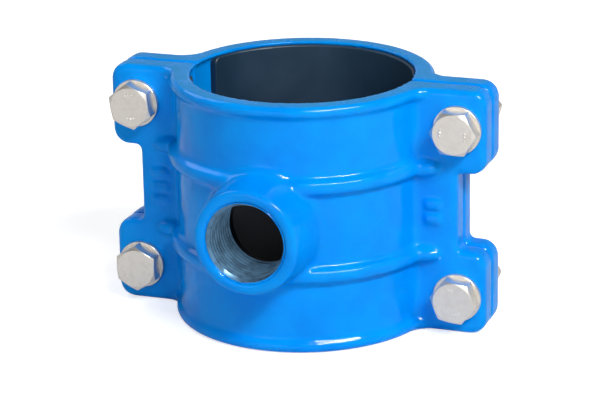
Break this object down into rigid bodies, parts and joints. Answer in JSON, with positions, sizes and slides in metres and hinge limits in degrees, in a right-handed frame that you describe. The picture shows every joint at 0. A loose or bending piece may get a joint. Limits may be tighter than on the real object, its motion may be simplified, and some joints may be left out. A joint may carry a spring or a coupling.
{
  "type": "tapping saddle",
  "caption": "Blue ductile iron half shells bolted round a pipe, rubber lined, with a conical threaded branch outlet on the front.",
  "frame": {"origin": "where the pipe's axis crosses the outlet's axis, at mid height", "axes": "+Z along the pipe, upright as it stands; -Y out of the threaded outlet; +X to the right along the flanges"},
  "size_m": [0.162, 0.126, 0.103],
  "materials": {
    "blue_coating": "thick glossy fusion-bonded epoxy coating",
    "rubber": "matte",
    "stainless_steel": "satin"
  },
  "bodies": {
    "front": {"front_half": "blue_coating", "front_liner": "rubber", "head_washer_upper_left": "stainless_steel", "head_washer_upper_right": "stainless_steel", "head_washer_lower_left": "stainless_steel", "head_washer_lower_right": "stainless_steel"},
    "rear": {"rear_half": "blue_coating", "rear_liner": "rubber", "nut_washer_upper_left": "stainless_steel", "nut_washer_upper_right": "stainless_steel", "nut_washer_lower_left": "stainless_steel", "nut_washer_lower_right": "stainless_steel", "nut_upper_left": "stainless_steel", "nut_upper_right": "stainless_steel", "nut_lower_left": "stainless_steel", "nut_lower_right": "stainless_steel"},
    "bolt_upper_left": {"bolt_upper_left": "stainless_steel"},
    "bolt_upper_right": {"bolt_upper_right": "stainless_steel"},
    "bolt_lower_left": {"bolt_lower_left": "stainless_steel"},
    "bolt_lower_right": {"bolt_lower_right": "stainless_steel"}
  },
  "joints": [
    {"name": "rear_half_slide", "type": "slide", "parent": "front", "child": "rear", "axis": [0, 1, 0], "range_m": [0, 0.009]},
    {"name": "bolt_turn_upper_left", "type": "hinge", "parent": "front", "child": "bolt_upper_left", "pos_m": [-0.0695, -0.013, 0.0355], "axis": [0, -1, 0], "range_deg": [0, 2160]},
    {"name": "bolt_turn_upper_right", "type": "hinge", "parent": "front", "child": "bolt_upper_right", "pos_m": [0.0695, -0.013, 0.0355], "axis": [0, -1, 0], "range_deg": [0, 2160]},
    {"name": "bolt_turn_lower_left", "type": "hinge", "parent": "front", "child": "bolt_lower_left", "pos_m": [-0.0695, -0.013, -0.0355], "axis": [0, -1, 0], "range_deg": [0, 2160]},
    {"name": "bolt_turn_lower_right", "type": "hinge", "parent": "front", "child": "bolt_lower_right", "pos_m": [0.0695, -0.013, -0.0355], "axis": [0, -1, 0], "range_deg": [0, 2160]}
  ],
  "couplings": [
    {"joint": "bolt_turn_upper_left", "follows": "rear_half_slide", "rad_per_m": 4188.8},
    {"joint": "bolt_turn_upper_right", "follows": "rear_half_slide", "rad_per_m": 4188.8},
    {"joint": "bolt_turn_lower_left", "follows": "rear_half_slide", "rad_per_m": 4188.8},
    {"joint": "bolt_turn_lower_right", "follows": "rear_half_slide", "rad_per_m": 4188.8}
  ]
}
